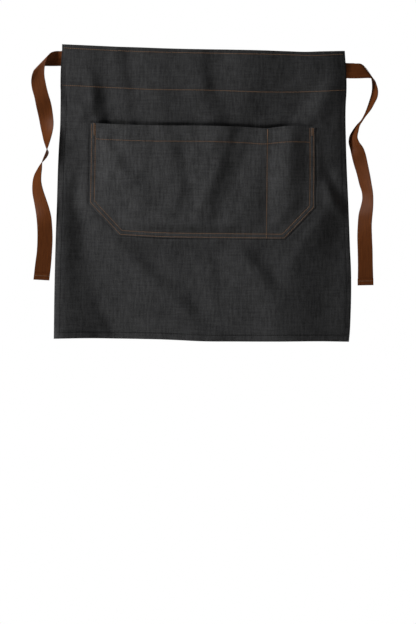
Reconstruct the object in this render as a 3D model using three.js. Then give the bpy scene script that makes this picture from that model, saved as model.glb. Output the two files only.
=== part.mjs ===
// A waist apron, hanging open, in millimetres. The front faces -Y, the top edge is at the top.
// The origin is the middle of the top edge, where the apron is held up.
import * as THREE from 'three';

// Outline of the apron
const apronWidth = 480;
const apronLength = 497;
const sideFlare = 15;
const topFall = 11;
const topSag = 3;
const hemWave = 5.5;

// Depth of the hanging form: the side edges lie behind the middle, and soft folds run down
const leftBow = 8;
const rightBow = 15;
const bowPower = 4;
const foldDepth = 9;
const calmEdge = 9;
const calmWidth = 30;

// Cloth, and where it is turned over at a hem
const clothThickness = 1.2;
const turnedThickness = 2.4;
const clothGap = 0.4;
const sideHem = 12;
const bottomHem = 14;
const hemStep = 0.6;

// Strip behind the top of the panel, with its lower edge turned up
const facingDepth = 71;
const facingHem = 10;
const facingInset = 2.5;

// Patch pocket
const pocketWidth = 385;
const pocketHeight = 190;
const pocketDrop = 130;
const pocketShift = -2;
const pocketFall = 7;
const pocketMouthWave = 5;
const pocketSlack = 10.5;
const pocketMouthSlack = 8.5;
const pocketFoldDepth = 3;
const pocketHem = 28;
const seamWidth = 10;
const seamRise = 30;
const cornerAcross = 51;
const cornerUp = 55;
const narrowPocketWidth = 82;
const dividerWidth = 4;

// Ties of woven tape
const tieWidth = 25.5;
const tieThickness = 1.2;
const tieHem = 10;
const tieSewnIn = 32;
const tieEndRoom = 2;
const tieSwing = 20;
const leftTieDrop = 24;
const leftTieReach = 52;
const leftTieHang = 375;
const rightTieDrop = 33;
const rightTieReach = 55;
const rightTieHang = 364;

// Fineness of the meshes
const panelColumns = 34;
const panelRows = 28;
const pocketColumns = 24;
const pocketRows = 9;
const tieSteps = 90;
const sewnSteps = 4;
const closingRounds = 6;

// Side edges: how far each stands out, as a share of sideFlare, at a share of the length
const sideEdges = [
  { down: 0.00, left: 0.00, right: 0.00 },
  { down: 0.12, left: 0.21, right: 0.23 },
  { down: 0.24, left: 0.24, right: 0.15 },
  { down: 0.36, left: 0.43, right: 0.19 },
  { down: 0.52, left: 0.60, right: 0.44 },
  { down: 0.68, left: 0.80, right: 0.64 },
  { down: 0.78, left: 0.88, right: 0.78 },
  { down: 0.90, left: 0.97, right: 0.72 },
  { down: 1.00, left: 1.00, right: 0.51 },
];

// Bottom edge: how far it is lifted, as a share of hemWave, at a share of the width
const bottomEdge = [
  { across: 0.00, lift: 1.00 },
  { across: 0.20, lift: 1.05 },
  { across: 0.36, lift: 0.75 },
  { across: 0.46, lift: 0.10 },
  { across: 0.55, lift: 0.00 },
  { across: 0.80, lift: 0.00 },
  { across: 0.89, lift: 0.20 },
  { across: 1.00, lift: -0.05 },
];

// Mouth of the pocket: how far it dips, as a share of pocketMouthWave, at a share of the pocket's width
const mouthEdge = [
  { across: 0.00, dip: -0.30 },
  { across: 0.25, dip: 0.15 },
  { across: 0.50, dip: 0.00 },
  { across: 0.79, dip: 0.45 },
  { across: 0.89, dip: -0.35 },
  { across: 1.00, dip: -0.35 },
];

// Folds of the panel. Each runs straight between two places, given as shares of the width and the length.
// Half its width is a share of the apron's width, and its height a share of foldDepth, forward if positive.
const panelFolds = [
  { name: 'left hem ridge', at: 0.012, down: 0.49, endAt: 0.000, endDown: 1.00, half: 0.040, height: 0.65 },
  { name: 'left valley', at: 0.085, down: 0.54, endAt: 0.120, endDown: 1.00, half: 0.055, height: -0.85 },
  { name: 'diagonal ridge', at: 0.175, down: 0.66, endAt: 0.467, endDown: 0.95, half: 0.035, height: 0.30 },
  { name: 'diagonal valley', at: 0.22, down: 0.63, endAt: 0.515, endDown: 0.92, half: 0.038, height: -0.45 },
  { name: 'right dent', at: 0.67, down: 0.66, endAt: 0.758, endDown: 0.75, half: 0.040, height: -0.45 },
  { name: 'right ridge', at: 0.885, down: 0.57, endAt: 0.735, endDown: 1.00, half: 0.080, height: 0.75 },
  { name: 'right valley', at: 0.945, down: 0.61, endAt: 0.935, endDown: 1.00, half: 0.045, height: -0.85 },
  { name: 'side ridge', at: 0.895, down: 0.43, endAt: 0.965, endDown: 0.55, half: 0.020, height: 0.35 },
  { name: 'side valley', at: 0.925, down: 0.41, endAt: 0.995, endDown: 0.52, half: 0.020, height: -0.50 },
  { name: 'left shoulder', at: 0.040, down: 0.17, endAt: 0.105, endDown: 0.24, half: 0.030, height: 0.35 },
  { name: 'left notch', at: 0.140, down: 0.18, endAt: 0.148, endDown: 0.23, half: 0.020, height: -0.30 },
  { name: 'middle notch', at: 0.550, down: 0.17, endAt: 0.590, endDown: 0.22, half: 0.025, height: -0.30 },
  { name: 'right shoulder', at: 0.930, down: 0.18, endAt: 0.860, endDown: 0.23, half: 0.030, height: 0.35 },
  { name: 'band ridge', at: 0.620, down: 0.02, endAt: 0.640, endDown: 0.11, half: 0.045, height: 0.30 },
  { name: 'band valley', at: 0.525, down: 0.00, endAt: 0.530, endDown: 0.12, half: 0.022, height: -0.25 },
];

// Folds of the pocket, as those of the panel: shares of the pocket's width and height, and of pocketFoldDepth
const pocketFolds = [
  { name: 'long valley', at: 0.70, down: 0.05, endAt: 0.57, endDown: 0.62, half: 0.050, height: -1.00 },
  { name: 'middle dent', at: 0.41, down: 0.25, endAt: 0.44, endDown: 0.62, half: 0.045, height: -0.55 },
  { name: 'middle swell', at: 0.27, down: 0.15, endAt: 0.27, endDown: 0.55, half: 0.055, height: 0.45 },
  { name: 'left crease', at: 0.08, down: 0.20, endAt: 0.20, endDown: 0.55, half: 0.025, height: -0.50 },
  { name: 'narrow dent', at: 0.93, down: 0.10, endAt: 0.91, endDown: 0.65, half: 0.028, height: -0.80 },
];

// Left tie, a row for each bend or turn. Out from the side edge is a share of its reach, down of its hang and
// back of tieSwing. The last three lead across the tape, from its upper edge to its lower one, as shares of
// tieWidth. They come to more than the width where that line leans along the tape.
const leftTieTurns = [
  { out: 0.00, down: 0.000, back: 0.00, acrossOut: 0.00, acrossBack: 0.00, acrossDown: 1.00 },
  { out: 0.27, down: 0.001, back: 0.00, acrossOut: 0.84, acrossBack: 0.00, acrossDown: 1.00 },
  { out: 0.38, down: 0.001, back: -0.05, acrossOut: 0.98, acrossBack: 0.00, acrossDown: 1.00 },
  { out: 0.50, down: 0.003, back: -0.20, acrossOut: 1.00, acrossBack: 0.00, acrossDown: 1.00 },
  { out: 0.60, down: 0.011, back: -0.40, acrossOut: 0.98, acrossBack: 0.00, acrossDown: 1.02 },
  { out: 0.68, down: 0.023, back: -0.55, acrossOut: 0.98, acrossBack: 0.00, acrossDown: 1.00 },
  { out: 0.73, down: 0.041, back: -0.59, acrossOut: 0.96, acrossBack: 0.06, acrossDown: 0.96 },
  { out: 0.77, down: 0.059, back: -0.56, acrossOut: 0.90, acrossBack: 0.14, acrossDown: 0.92 },
  { out: 0.78, down: 0.099, back: -0.44, acrossOut: 0.86, acrossBack: 0.33, acrossDown: 0.63 },
  { out: 0.67, down: 0.165, back: -0.24, acrossOut: 0.90, acrossBack: 0.29, acrossDown: 0.29 },
  { out: 0.58, down: 0.213, back: -0.04, acrossOut: 0.98, acrossBack: 0.06, acrossDown: 0.27 },
  { out: 0.52, down: 0.261, back: 0.12, acrossOut: 0.94, acrossBack: 0.24, acrossDown: 0.20 },
  { out: 0.48, down: 0.303, back: 0.14, acrossOut: 0.86, acrossBack: 0.49, acrossDown: 0.16 },
  { out: 0.47, down: 0.338, back: 0.12, acrossOut: 0.67, acrossBack: 0.75, acrossDown: 0.14 },
  { out: 0.48, down: 0.374, back: 0.09, acrossOut: 0.39, acrossBack: 0.92, acrossDown: 0.06 },
  { out: 0.48, down: 0.405, back: 0.07, acrossOut: 0.08, acrossBack: 0.98, acrossDown: 0.04 },
  { out: 0.48, down: 0.427, back: 0.07, acrossOut: -0.20, acrossBack: 0.98, acrossDown: -0.06 },
  { out: 0.54, down: 0.448, back: 0.07, acrossOut: -0.20, acrossBack: 0.98, acrossDown: -0.04 },
  { out: 0.65, down: 0.473, back: 0.07, acrossOut: 0.04, acrossBack: 0.98, acrossDown: 0.04 },
  { out: 0.72, down: 0.500, back: 0.06, acrossOut: 0.27, acrossBack: 0.96, acrossDown: 0.04 },
  { out: 0.81, down: 0.565, back: 0.04, acrossOut: 0.57, acrossBack: 0.80, acrossDown: 0.14 },
  { out: 0.71, down: 0.639, back: -0.05, acrossOut: 0.76, acrossBack: 0.59, acrossDown: 0.25 },
  { out: 0.58, down: 0.723, back: -0.10, acrossOut: 0.96, acrossBack: 0.16, acrossDown: 0.24 },
  { out: 0.55, down: 0.773, back: -0.07, acrossOut: 1.00, acrossBack: 0.00, acrossDown: 0.12 },
  { out: 0.56, down: 0.877, back: 0.16, acrossOut: 1.02, acrossBack: -0.02, acrossDown: 0.00 },
  { out: 0.66, down: 1.001, back: 0.45, acrossOut: 1.06, acrossBack: 0.00, acrossDown: -0.06 },
];

// Right tie, in the same columns
const rightTieTurns = [
  { out: 0.00, down: 0.000, back: 0.00, acrossOut: 0.00, acrossBack: 0.00, acrossDown: 1.00 },
  { out: 0.31, down: 0.003, back: 0.00, acrossOut: 0.33, acrossBack: 0.00, acrossDown: 1.02 },
  { out: 0.46, down: 0.003, back: 0.00, acrossOut: 0.75, acrossBack: 0.00, acrossDown: 0.98 },
  { out: 0.56, down: 0.003, back: 0.00, acrossOut: 0.76, acrossBack: 0.00, acrossDown: 0.98 },
  { out: 0.70, down: 0.011, back: 0.09, acrossOut: 0.75, acrossBack: -0.02, acrossDown: 0.98 },
  { out: 0.78, down: 0.025, back: 0.45, acrossOut: 0.61, acrossBack: -0.24, acrossDown: 0.90 },
  { out: 0.84, down: 0.042, back: 0.70, acrossOut: 0.45, acrossBack: -0.67, acrossDown: 0.76 },
  { out: 0.89, down: 0.063, back: 0.74, acrossOut: 0.37, acrossBack: -0.84, acrossDown: 0.55 },
  { out: 0.89, down: 0.116, back: 0.72, acrossOut: 0.37, acrossBack: -0.90, acrossDown: 0.25 },
  { out: 0.71, down: 0.182, back: 0.54, acrossOut: 0.24, acrossBack: -0.96, acrossDown: 0.10 },
  { out: 0.60, down: 0.210, back: 0.44, acrossOut: 0.12, acrossBack: -1.00, acrossDown: 0.04 },
  { out: 0.49, down: 0.236, back: 0.38, acrossOut: 0.08, acrossBack: -0.98, acrossDown: 0.04 },
  { out: 0.39, down: 0.257, back: 0.33, acrossOut: 0.18, acrossBack: -0.98, acrossDown: 0.04 },
  { out: 0.30, down: 0.284, back: 0.30, acrossOut: 0.35, acrossBack: -0.94, acrossDown: 0.06 },
  { out: 0.24, down: 0.311, back: 0.29, acrossOut: 0.51, acrossBack: -0.84, acrossDown: 0.06 },
  { out: 0.25, down: 0.337, back: 0.25, acrossOut: 0.69, acrossBack: -0.71, acrossDown: -0.04 },
  { out: 0.40, down: 0.398, back: 0.19, acrossOut: 0.94, acrossBack: -0.25, acrossDown: -0.08 },
  { out: 0.46, down: 0.436, back: 0.20, acrossOut: 0.92, acrossBack: -0.39, acrossDown: -0.06 },
  { out: 0.54, down: 0.481, back: 0.17, acrossOut: 0.86, acrossBack: -0.51, acrossDown: -0.02 },
  { out: 0.60, down: 0.530, back: 0.14, acrossOut: 0.80, acrossBack: -0.61, acrossDown: -0.04 },
  { out: 0.68, down: 0.610, back: -0.04, acrossOut: 0.73, acrossBack: -0.65, acrossDown: 0.16 },
  { out: 0.65, down: 0.644, back: -0.14, acrossOut: 0.80, acrossBack: -0.53, acrossDown: 0.22 },
  { out: 0.61, down: 0.677, back: -0.20, acrossOut: 0.90, acrossBack: -0.39, acrossDown: 0.16 },
  { out: 0.59, down: 0.718, back: -0.19, acrossOut: 0.92, acrossBack: -0.33, acrossDown: 0.12 },
  { out: 0.60, down: 0.839, back: -0.12, acrossOut: 1.00, acrossBack: -0.12, acrossDown: 0.00 },
  { out: 0.61, down: 1.001, back: 0.10, acrossOut: 1.06, acrossBack: -0.04, acrossDown: -0.02 },
];

// Finishes
const denimFinish = { roughness: 0.92, metalness: 0 };
const panelColour = 0x333334;
const facingColour = 0x2e2e2f;
const pocketColour = 0x363637;
const tieColour = 0x5c3319;

const smoothStep = THREE.MathUtils.smoothstep;

// Reads a column of a table between its rows, eased so that an edge has no corners at the rows
function readTable(table, placeColumn, valueColumn, place) {
  const last = table.length - 1;
  let next = table.findIndex((row) => row[placeColumn] > place);
  if (next < 0) {
    next = last;
  }
  next = Math.max(next, 1);
  const before = table[next - 1];
  const after = table[next];
  const share = smoothStep(place, before[placeColumn], after[placeColumn]);
  return before[valueColumn] + share * (after[valueColumn] - before[valueColumn]);
}

// Height of all the folds at one place of a cloth, in the unit of their height column
function foldsAt(folds, width, length, across, down) {
  let total = 0;
  for (const fold of folds) {
    const runAcross = (fold.endAt - fold.at) * width;
    const runDown = (fold.endDown - fold.down) * length;
    const run = Math.hypot(runAcross, runDown);
    const pastAcross = (across - fold.at) * width;
    const pastDown = (down - fold.down) * length;
    const along = (pastAcross * runAcross + pastDown * runDown) / run;
    const aside = (pastAcross * runDown - pastDown * runAcross) / run;
    const beyond = Math.max(-along, along - run, 0);
    const half = fold.half * width;
    total += fold.height * Math.exp(-((aside / half) ** 2) - (beyond / (2 * half)) ** 2);
  }
  return total;
}

// Outline of the panel: the edges at a share of the length or of the width
function leftEdge(down) {
  return -apronWidth / 2 - sideFlare * readTable(sideEdges, 'down', 'left', down);
}

function rightEdge(down) {
  return apronWidth / 2 + sideFlare * readTable(sideEdges, 'down', 'right', down);
}

function topEdge(across) {
  const fromMiddle = 2 * across - 1;
  return topSag * fromMiddle ** bowPower - (topFall / 2) * fromMiddle;
}

function lowerEdge(across) {
  return -apronLength + hemWave * readTable(bottomEdge, 'across', 'lift', across);
}

// Outline of the pocket: its sides, the height of its mouth and of its lower edge, which both fall to the right
const pocketLeft = pocketShift - pocketWidth / 2;
const pocketRight = pocketShift + pocketWidth / 2;

function pocketMouth(x) {
  const across = (x - pocketLeft) / pocketWidth;
  const dip = pocketMouthWave * readTable(mouthEdge, 'across', 'dip', across);
  return -pocketDrop - dip - pocketFall * (across - 0.5);
}

function pocketBase(x) {
  const across = (x - pocketLeft) / pocketWidth;
  return -pocketDrop - pocketHeight - pocketFall * (across - 0.5);
}

function pocketLowerEdge(x) {
  const fromSide = Math.min(x - pocketLeft, pocketRight - x);
  return pocketBase(x) + cornerUp * Math.max(0, 1 - fromSide / cornerAcross);
}

// How far a place lies inside the cut-off lower corner nearest to it, less than nothing outside
function insideCorner(x, z) {
  const fromSide = Math.min(x - pocketLeft, pocketRight - x);
  const fromBottom = z - pocketBase(x);
  const reach = fromSide * cornerUp + fromBottom * cornerAcross - cornerAcross * cornerUp;
  return reach / Math.hypot(cornerAcross, cornerUp);
}

// The sewn-on pocket keeps the panel flat: folds rise from its outline outwards
function outsidePocket(x, z) {
  const inside = Math.min(
    x - pocketLeft, pocketRight - x, z - pocketBase(x), pocketMouth(x) - z, insideCorner(x, z),
  );
  return smoothStep(-inside, calmEdge, calmEdge + calmWidth);
}

// Front of the panel at a share of the width and of the length, as X, Y and Z
function panelFront(across, down) {
  const x = THREE.MathUtils.lerp(leftEdge(down), rightEdge(down), across);
  const z = THREE.MathUtils.lerp(topEdge(across), lowerEdge(across), down);
  const sideBow = across < 0.5 ? leftBow : rightBow;
  const bow = sideBow * Math.abs(2 * across - 1) ** bowPower;
  const folds = foldDepth * foldsAt(panelFolds, apronWidth, apronLength, across, down);
  return [x, bow - folds * outsidePocket(x, z), z];
}

// The same front at an X and a Z: the shares are found by closing in on them
function panelDepth(x, z) {
  let across = 0.5;
  let down = 0.5;
  for (let round = 0; round < closingRounds; round += 1) {
    down = (topEdge(across) - z) / (topEdge(across) - lowerEdge(across));
    down = THREE.MathUtils.clamp(down, 0, 1);
    across = (x - leftEdge(down)) / (rightEdge(down) - leftEdge(down));
    across = THREE.MathUtils.clamp(across, 0, 1);
  }
  return panelFront(across, down)[1];
}

// Evenly spaced numbers with some more put in, each at least a little apart from the next
function spacedWith(from, to, count, extra, apart) {
  const fixed = [from, ...extra, to];
  const list = [...fixed];
  for (let step = 1; step < count; step += 1) {
    const place = from + ((to - from) * step) / count;
    if (fixed.every((other) => Math.abs(other - place) > apart)) {
      list.push(place);
    }
  }
  return list.sort((one, other) => one - other);
}

// A closed cloth from two grids of points: near is seen from the front, far from behind
function clothGeometry(near, far) {
  const columns = near.length;
  const rows = near[0].length;
  const positions = [...near.flat(), ...far.flat()].flat();
  const backStart = columns * rows;
  const front = (column, row) => column * rows + row;
  const back = (column, row) => backStart + column * rows + row;
  const faces = [];
  const addQuad = (a, b, c, d) => faces.push(a, b, c, a, c, d);
  const low = rows - 1;
  for (let column = 0; column < columns - 1; column += 1) {
    const next = column + 1;
    for (let row = 0; row < rows - 1; row += 1) {
      addQuad(front(column, row), front(column, row + 1), front(next, row + 1), front(next, row));
      addQuad(back(column, row), back(next, row), back(next, row + 1), back(column, row + 1));
    }
    addQuad(front(column, 0), front(next, 0), back(next, 0), back(column, 0));
    addQuad(front(next, low), front(column, low), back(column, low), back(next, low));
  }
  for (let row = 0; row < rows - 1; row += 1) {
    addQuad(front(0, row + 1), front(0, row), back(0, row), back(0, row + 1));
    const end = columns - 1;
    addQuad(front(end, row), front(end, row + 1), back(end, row + 1), back(end, row));
  }
  const geometry = new THREE.BufferGeometry();
  geometry.setAttribute('position', new THREE.Float32BufferAttribute(positions, 3));
  geometry.setIndex(faces);
  geometry.computeVertexNormals();
  return geometry;
}

function clothMesh(name, near, far, colour) {
  const material = new THREE.MeshStandardMaterial({ color: colour, ...denimFinish });
  const mesh = new THREE.Mesh(clothGeometry(near, far), material);
  mesh.name = name;
  return mesh;
}

// Moves a point back by a distance
function behind(point, distance) {
  return [point[0], point[1] + distance, point[2]];
}

// Columns of the panel and the facing, as shares of the width, so that the two cloths bend alike
const hemAcross = sideHem / apronWidth;
const stepAcross = hemStep / apronWidth;
const roomEnd = (tieSewnIn + tieEndRoom) / apronWidth;
const roomStart = roomEnd + sideHem / apronWidth;
const columnLines = spacedWith(0, 1, panelColumns, [
  hemAcross, hemAcross + stepAcross, roomEnd, roomStart,
  1 - roomStart, 1 - roomEnd, 1 - hemAcross - stepAcross, 1 - hemAcross,
], hemAcross / 3);

// Panel: one cloth, turned over to the back along its sides below the facing and along the bottom
function makePanel() {
  const hemDown = 1 - bottomHem / apronLength;
  const stepDown = hemStep / apronLength;
  const hemStart = (facingDepth + 2 * clothGap) / apronLength;
  const crossLines = [hemStart, hemStart + stepDown, hemDown - stepDown, hemDown];
  const rows = spacedWith(0, 1, panelRows, crossLines, stepDown * 3);
  const isTurned = (across, down) => {
    const atSide = across <= hemAcross || across >= 1 - hemAcross;
    return down >= hemDown || (atSide && down >= hemStart + stepDown);
  };
  const near = columnLines.map((across) => rows.map((down) => panelFront(across, down)));
  const far = near.map((line, column) => line.map((point, row) => {
    const turned = isTurned(columnLines[column], rows[row]);
    return behind(point, turned ? turnedThickness : clothThickness);
  }));
  return clothMesh('apron_panel', near, far, panelColour);
}

// Facing: a strip behind the top of the panel. At both ends it passes behind the sewn-in tie.
function makeFacing() {
  const tieRoom = clothGap + tieThickness;
  const inset = facingInset / apronWidth;
  const foldLine = facingDepth - facingHem;
  const rows = [0, foldLine / 3, (2 * foldLine) / 3, foldLine - hemStep, foldLine, facingDepth];
  const near = columnLines.map((line) => rows.map((drop) => {
    const across = THREE.MathUtils.clamp(line, inset, 1 - inset);
    const fromEnd = Math.min(across, 1 - across);
    const room = tieRoom * (1 - THREE.MathUtils.clamp((fromEnd - roomEnd) / (roomStart - roomEnd), 0, 1));
    const down = drop / (topEdge(across) - lowerEdge(across));
    return behind(panelFront(across, down), clothThickness + clothGap + room);
  }));
  const far = near.map((line) => line.map((point, row) => {
    const turned = rows[row] >= foldLine;
    return behind(point, turned ? turnedThickness : clothThickness);
  }));
  return clothMesh('waistband_facing', near, far, facingColour);
}

// Pocket: one cloth on the front of the panel, sewn down at its sides, its bottom, its cut-off lower corners
// and along a divider. Between the seams it stands off the panel, and its mouth is open at the top.
const dividerX = pocketRight - narrowPocketWidth;

// Rises from nothing at a seam to one at seamRise from it
function riseFrom(distance) {
  return Math.sin((Math.PI / 2) * THREE.MathUtils.clamp(distance / seamRise, 0, 1));
}

// How far the front of the pocket stands off the panel
function pocketLift(x, z) {
  const fromSide = Math.min(x - pocketLeft, pocketRight - x);
  const fromBottom = z - pocketBase(x);
  const fromCorner = insideCorner(x, z);
  const fromDivider = Math.abs(x - dividerX) - dividerWidth / 2;
  const belowMouth = pocketMouth(x) - z;
  const fullness = smoothStep(belowMouth, 0, pocketHeight / 3);
  const slack = THREE.MathUtils.lerp(pocketMouthSlack, pocketSlack, fullness);
  const fromSeams = [fromSide, fromBottom, fromCorner];
  const outer = fromSeams.reduce((share, distance) => share * riseFrom(distance - seamWidth), 1);
  const divided = riseFrom(fromDivider);
  const across = (x - pocketLeft) / pocketWidth;
  const down = belowMouth / pocketHeight;
  const folds = pocketFoldDepth * foldsAt(pocketFolds, pocketWidth, pocketHeight, across, down);
  const belowHem = smoothStep(belowMouth, pocketHem, 2 * pocketHem);
  const aboveSeam = smoothStep(fromBottom, 2 * seamWidth, 4 * seamWidth);
  const singleCloth = (turnedThickness - clothThickness) * (1 - divided) * belowHem * aboveSeam;
  return clothGap + turnedThickness - singleCloth + (slack + folds) * outer * divided;
}

function makePocket() {
  const seamLines = [
    pocketLeft + seamWidth, pocketLeft + seamWidth + hemStep,
    pocketRight - seamWidth - hemStep, pocketRight - seamWidth,
    pocketLeft + cornerAcross, pocketRight - cornerAcross,
    dividerX - dividerWidth / 2, dividerX + dividerWidth / 2,
  ];
  const columns = spacedWith(pocketLeft, pocketRight, pocketColumns, seamLines, seamWidth / 2);
  const lowSeam = seamWidth * Math.hypot(cornerAcross, cornerUp) / cornerAcross;
  const near = columns.map((x) => {
    const mouth = pocketMouth(x);
    const lower = pocketLowerEdge(x);
    const upperEnd = mouth - pocketHem - hemStep;
    const heights = [mouth, mouth - pocketHem / 2, mouth - pocketHem, upperEnd];
    const lowerStart = lower + lowSeam + hemStep;
    for (let step = 1; step < pocketRows; step += 1) {
      heights.push(THREE.MathUtils.lerp(upperEnd, lowerStart, step / pocketRows));
    }
    heights.push(lowerStart, lower + lowSeam, lower);
    return heights.map((z) => [x, panelDepth(x, z) - pocketLift(x, z), z]);
  });
  const mouthHemEnd = 2;
  const lowHemStart = near[0].length - 2;
  const far = near.map((line, column) => line.map((point, row) => {
    const fromSide = Math.min(columns[column] - pocketLeft, pocketRight - columns[column]);
    const turned = row <= mouthHemEnd || row >= lowHemStart || fromSide <= seamWidth;
    return behind(point, turned ? turnedThickness : clothThickness);
  }));
  return clothMesh('pocket', near, far, pocketColour);
}

// Tie: a strip of tape swept along a curve through its rows, turned as they say. Its first stretch lies flat
// between the panel and the facing, and its free end is turned over and sewn.
function makeTie(name, side, drop, reach, hang, turns) {
  const edgeAt = side < 0 ? leftEdge : rightEdge;
  const across = side < 0 ? 0 : 1;
  const startZ = topEdge(across) - drop;
  const startX = edgeAt(drop / apronLength);
  const tapeBehind = clothThickness + clothGap + tieThickness / 2;
  const startY = panelDepth(startX, startZ) + tapeBehind;
  const places = [];
  const crossings = [];
  for (let step = 0; step < sewnSteps; step += 1) {
    const x = startX - side * tieSewnIn * (1 - step / sewnSteps);
    places.push(new THREE.Vector3(x, panelDepth(x, startZ) + tapeBehind, startZ));
    crossings.push(new THREE.Vector3(0, 0, -1));
  }
  for (const turn of turns) {
    const x = startX + side * reach * turn.out;
    places.push(new THREE.Vector3(x, startY + tieSwing * turn.back, startZ - hang * turn.down));
    crossings.push(new THREE.Vector3(side * turn.acrossOut, turn.acrossBack, -turn.acrossDown));
  }
  const path = new THREE.CatmullRomCurve3(places, false, 'centripetal');
  const turning = new THREE.CatmullRomCurve3(crossings, false, 'catmullrom');
  path.arcLengthDivisions = 8 * tieSteps;
  const length = path.getLength();
  const hemShare = 1 - tieHem / length;
  const turnedShare = hemShare + hemStep / length;
  const shares = spacedWith(0, 1, tieSteps, [hemShare, turnedShare], 1 / (4 * tieSteps));
  const rows = [-1, 0, 1];
  const near = [];
  const far = [];
  for (const share of shares) {
    const place = path.getUtoTmapping(share);
    const centre = path.getPoint(place);
    const tangent = path.getTangent(place);
    const crossing = turning.getPoint(place);
    const facing = new THREE.Vector3().crossVectors(crossing, tangent).normalize().multiplyScalar(side);
    const turnedBack = share >= turnedShare ? tieThickness : 0;
    const sewn = side * (centre.x - startX) < 0;
    const nearLine = [];
    const farLine = [];
    for (const row of rows) {
      const point = centre.clone().addScaledVector(crossing, (tieWidth / 2) * row);
      if (sewn) {
        point.y = panelDepth(point.x, point.z) + tapeBehind;
      }
      nearLine.push(point.clone().addScaledVector(facing, tieThickness / 2).toArray());
      farLine.push(point.clone().addScaledVector(facing, -tieThickness / 2 - turnedBack).toArray());
    }
    near.push(nearLine);
    far.push(farLine);
  }
  return side < 0 ? clothMesh(name, far, near, tieColour) : clothMesh(name, near, far, tieColour);
}

const apron = new THREE.Group();
apron.add(makePanel());
apron.add(makeFacing());
apron.add(makePocket());
apron.add(makeTie('tie_left', -1, leftTieDrop, leftTieReach, leftTieHang, leftTieTurns));
apron.add(makeTie('tie_right', 1, rightTieDrop, rightTieReach, rightTieHang, rightTieTurns));

export default apron;
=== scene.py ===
import math
import random

import bpy
import numpy as np
from mathutils import Matrix, Vector
from mathutils.bvhtree import BVHTree


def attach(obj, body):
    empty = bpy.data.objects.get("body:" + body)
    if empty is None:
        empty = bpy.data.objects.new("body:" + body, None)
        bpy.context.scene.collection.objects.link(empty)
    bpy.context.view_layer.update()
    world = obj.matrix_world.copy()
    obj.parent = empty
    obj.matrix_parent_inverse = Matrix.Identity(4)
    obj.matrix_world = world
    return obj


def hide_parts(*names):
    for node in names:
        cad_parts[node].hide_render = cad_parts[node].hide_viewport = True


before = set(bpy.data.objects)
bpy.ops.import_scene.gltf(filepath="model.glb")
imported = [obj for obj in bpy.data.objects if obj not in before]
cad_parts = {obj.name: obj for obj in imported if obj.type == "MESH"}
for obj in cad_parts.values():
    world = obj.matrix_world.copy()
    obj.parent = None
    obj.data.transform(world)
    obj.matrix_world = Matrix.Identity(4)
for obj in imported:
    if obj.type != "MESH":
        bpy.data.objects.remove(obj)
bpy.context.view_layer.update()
bpy.ops.object.select_all(action="DESELECT")

# Camera. The photograph is a catalogue picture, level and square to the front, so the camera stands well back
# with a long lens. One of its pixels is 1.7 mm at the apron, and the pixel of the origin is given here.
MM = 0.001
pixel = 1.7 * MM
photo_width, photo_height = 416, 624
origin_column, origin_row = 203.5, 49.3
camera_distance = 6.0
sensor_size = 36
bpy.ops.object.camera_add(
    location=(
        (photo_width / 2 - origin_column) * pixel,
        -camera_distance,
        (origin_row - photo_height / 2) * pixel,
    ),
    rotation=(math.pi / 2, 0, 0),
)
camera = bpy.context.object
camera.name = "front_camera"
camera.data.sensor_width = sensor_size
camera.data.lens = sensor_size * camera_distance / (photo_height * pixel)
bpy.context.scene.camera = camera
bpy.context.scene.view_settings.view_transform = "Standard"

# Studio. A sheet of pale paper lies on the floor below the hanging apron, and the walls are white. A large
# soft lamp stands high on the left, a weak one on the right opens the shadows, and one lights the back.
floor_drop = 1.13
floor_size = 3.0
paper_colour = "#f4f4f2"
wall_glow = 1.0
room_light = 0.02
key_place, key_size, key_power = (-3.75, -1.75, 1.75), 1.0, 140
fill_place, fill_size, fill_power = (1.2, -3.4, 0.2), 2.0, 4
back_place, back_size, back_power = (1.9, 3.2, 1.3), 1.6, 48
lit_point = (0, 0, -0.25)


def linear(hex_colour):
    """Turns an sRGB hex value into the linear colour that a socket takes"""
    parts = [int(hex_colour[start:start + 2], 16) / 255 for start in (1, 3, 5)]
    return [part / 12.92 if part <= 0.04045 else ((part + 0.055) / 1.055) ** 2.4 for part in parts] + [1]


def add_node(tree, kind, inputs=None, **settings):
    """Adds a node with its settings. An input is given a value, or another node's output to link to."""
    made = tree.nodes.new(kind)
    for name, value in settings.items():
        setattr(made, name, value)
    for name, value in (inputs or {}).items():
        if isinstance(value, bpy.types.NodeSocket):
            tree.links.new(value, made.inputs[name])
        else:
            made.inputs[name].default_value = value
    return made


def add_soft_lamp(name, place, size, power):
    """Adds a square lamp that faces the apron"""
    turn = (Vector(lit_point) - Vector(place)).to_track_quat("-Z", "Y").to_euler()
    bpy.ops.object.light_add(type="AREA", location=place, rotation=turn)
    lamp = bpy.context.object
    lamp.name = name
    lamp.data.size = size
    lamp.data.energy = power


add_soft_lamp("key_lamp", key_place, key_size, key_power)
add_soft_lamp("fill_lamp", fill_place, fill_size, fill_power)
add_soft_lamp("back_lamp", back_place, back_size, back_power)

bpy.ops.mesh.primitive_plane_add(size=floor_size, location=(0, 0, -floor_drop))
floor = bpy.context.object
floor.name = "studio_floor"
paper = bpy.data.materials.new("pale_studio_paper")
paper.use_nodes = True
paper_tree = paper.node_tree
paper_shader = paper_tree.nodes["Principled BSDF"]
paper_shader.inputs["Roughness"].default_value = 0.9
paper_shader.inputs["Base Color"].default_value = linear(paper_colour)
floor.data.materials.append(paper)

world = bpy.data.worlds.new("white_studio")
world.use_nodes = True
bpy.context.scene.world = world
sky = world.node_tree
seen = add_node(sky, "ShaderNodeLightPath")
glow = add_node(sky, "ShaderNodeMapRange", {
    "Value": seen.outputs["Is Camera Ray"], "To Min": room_light, "To Max": wall_glow,
})
sky.links.new(glow.outputs["Result"], sky.nodes["Background"].inputs["Strength"])
sky.nodes["Background"].inputs["Color"].default_value = (1, 1, 1, 1)

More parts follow.
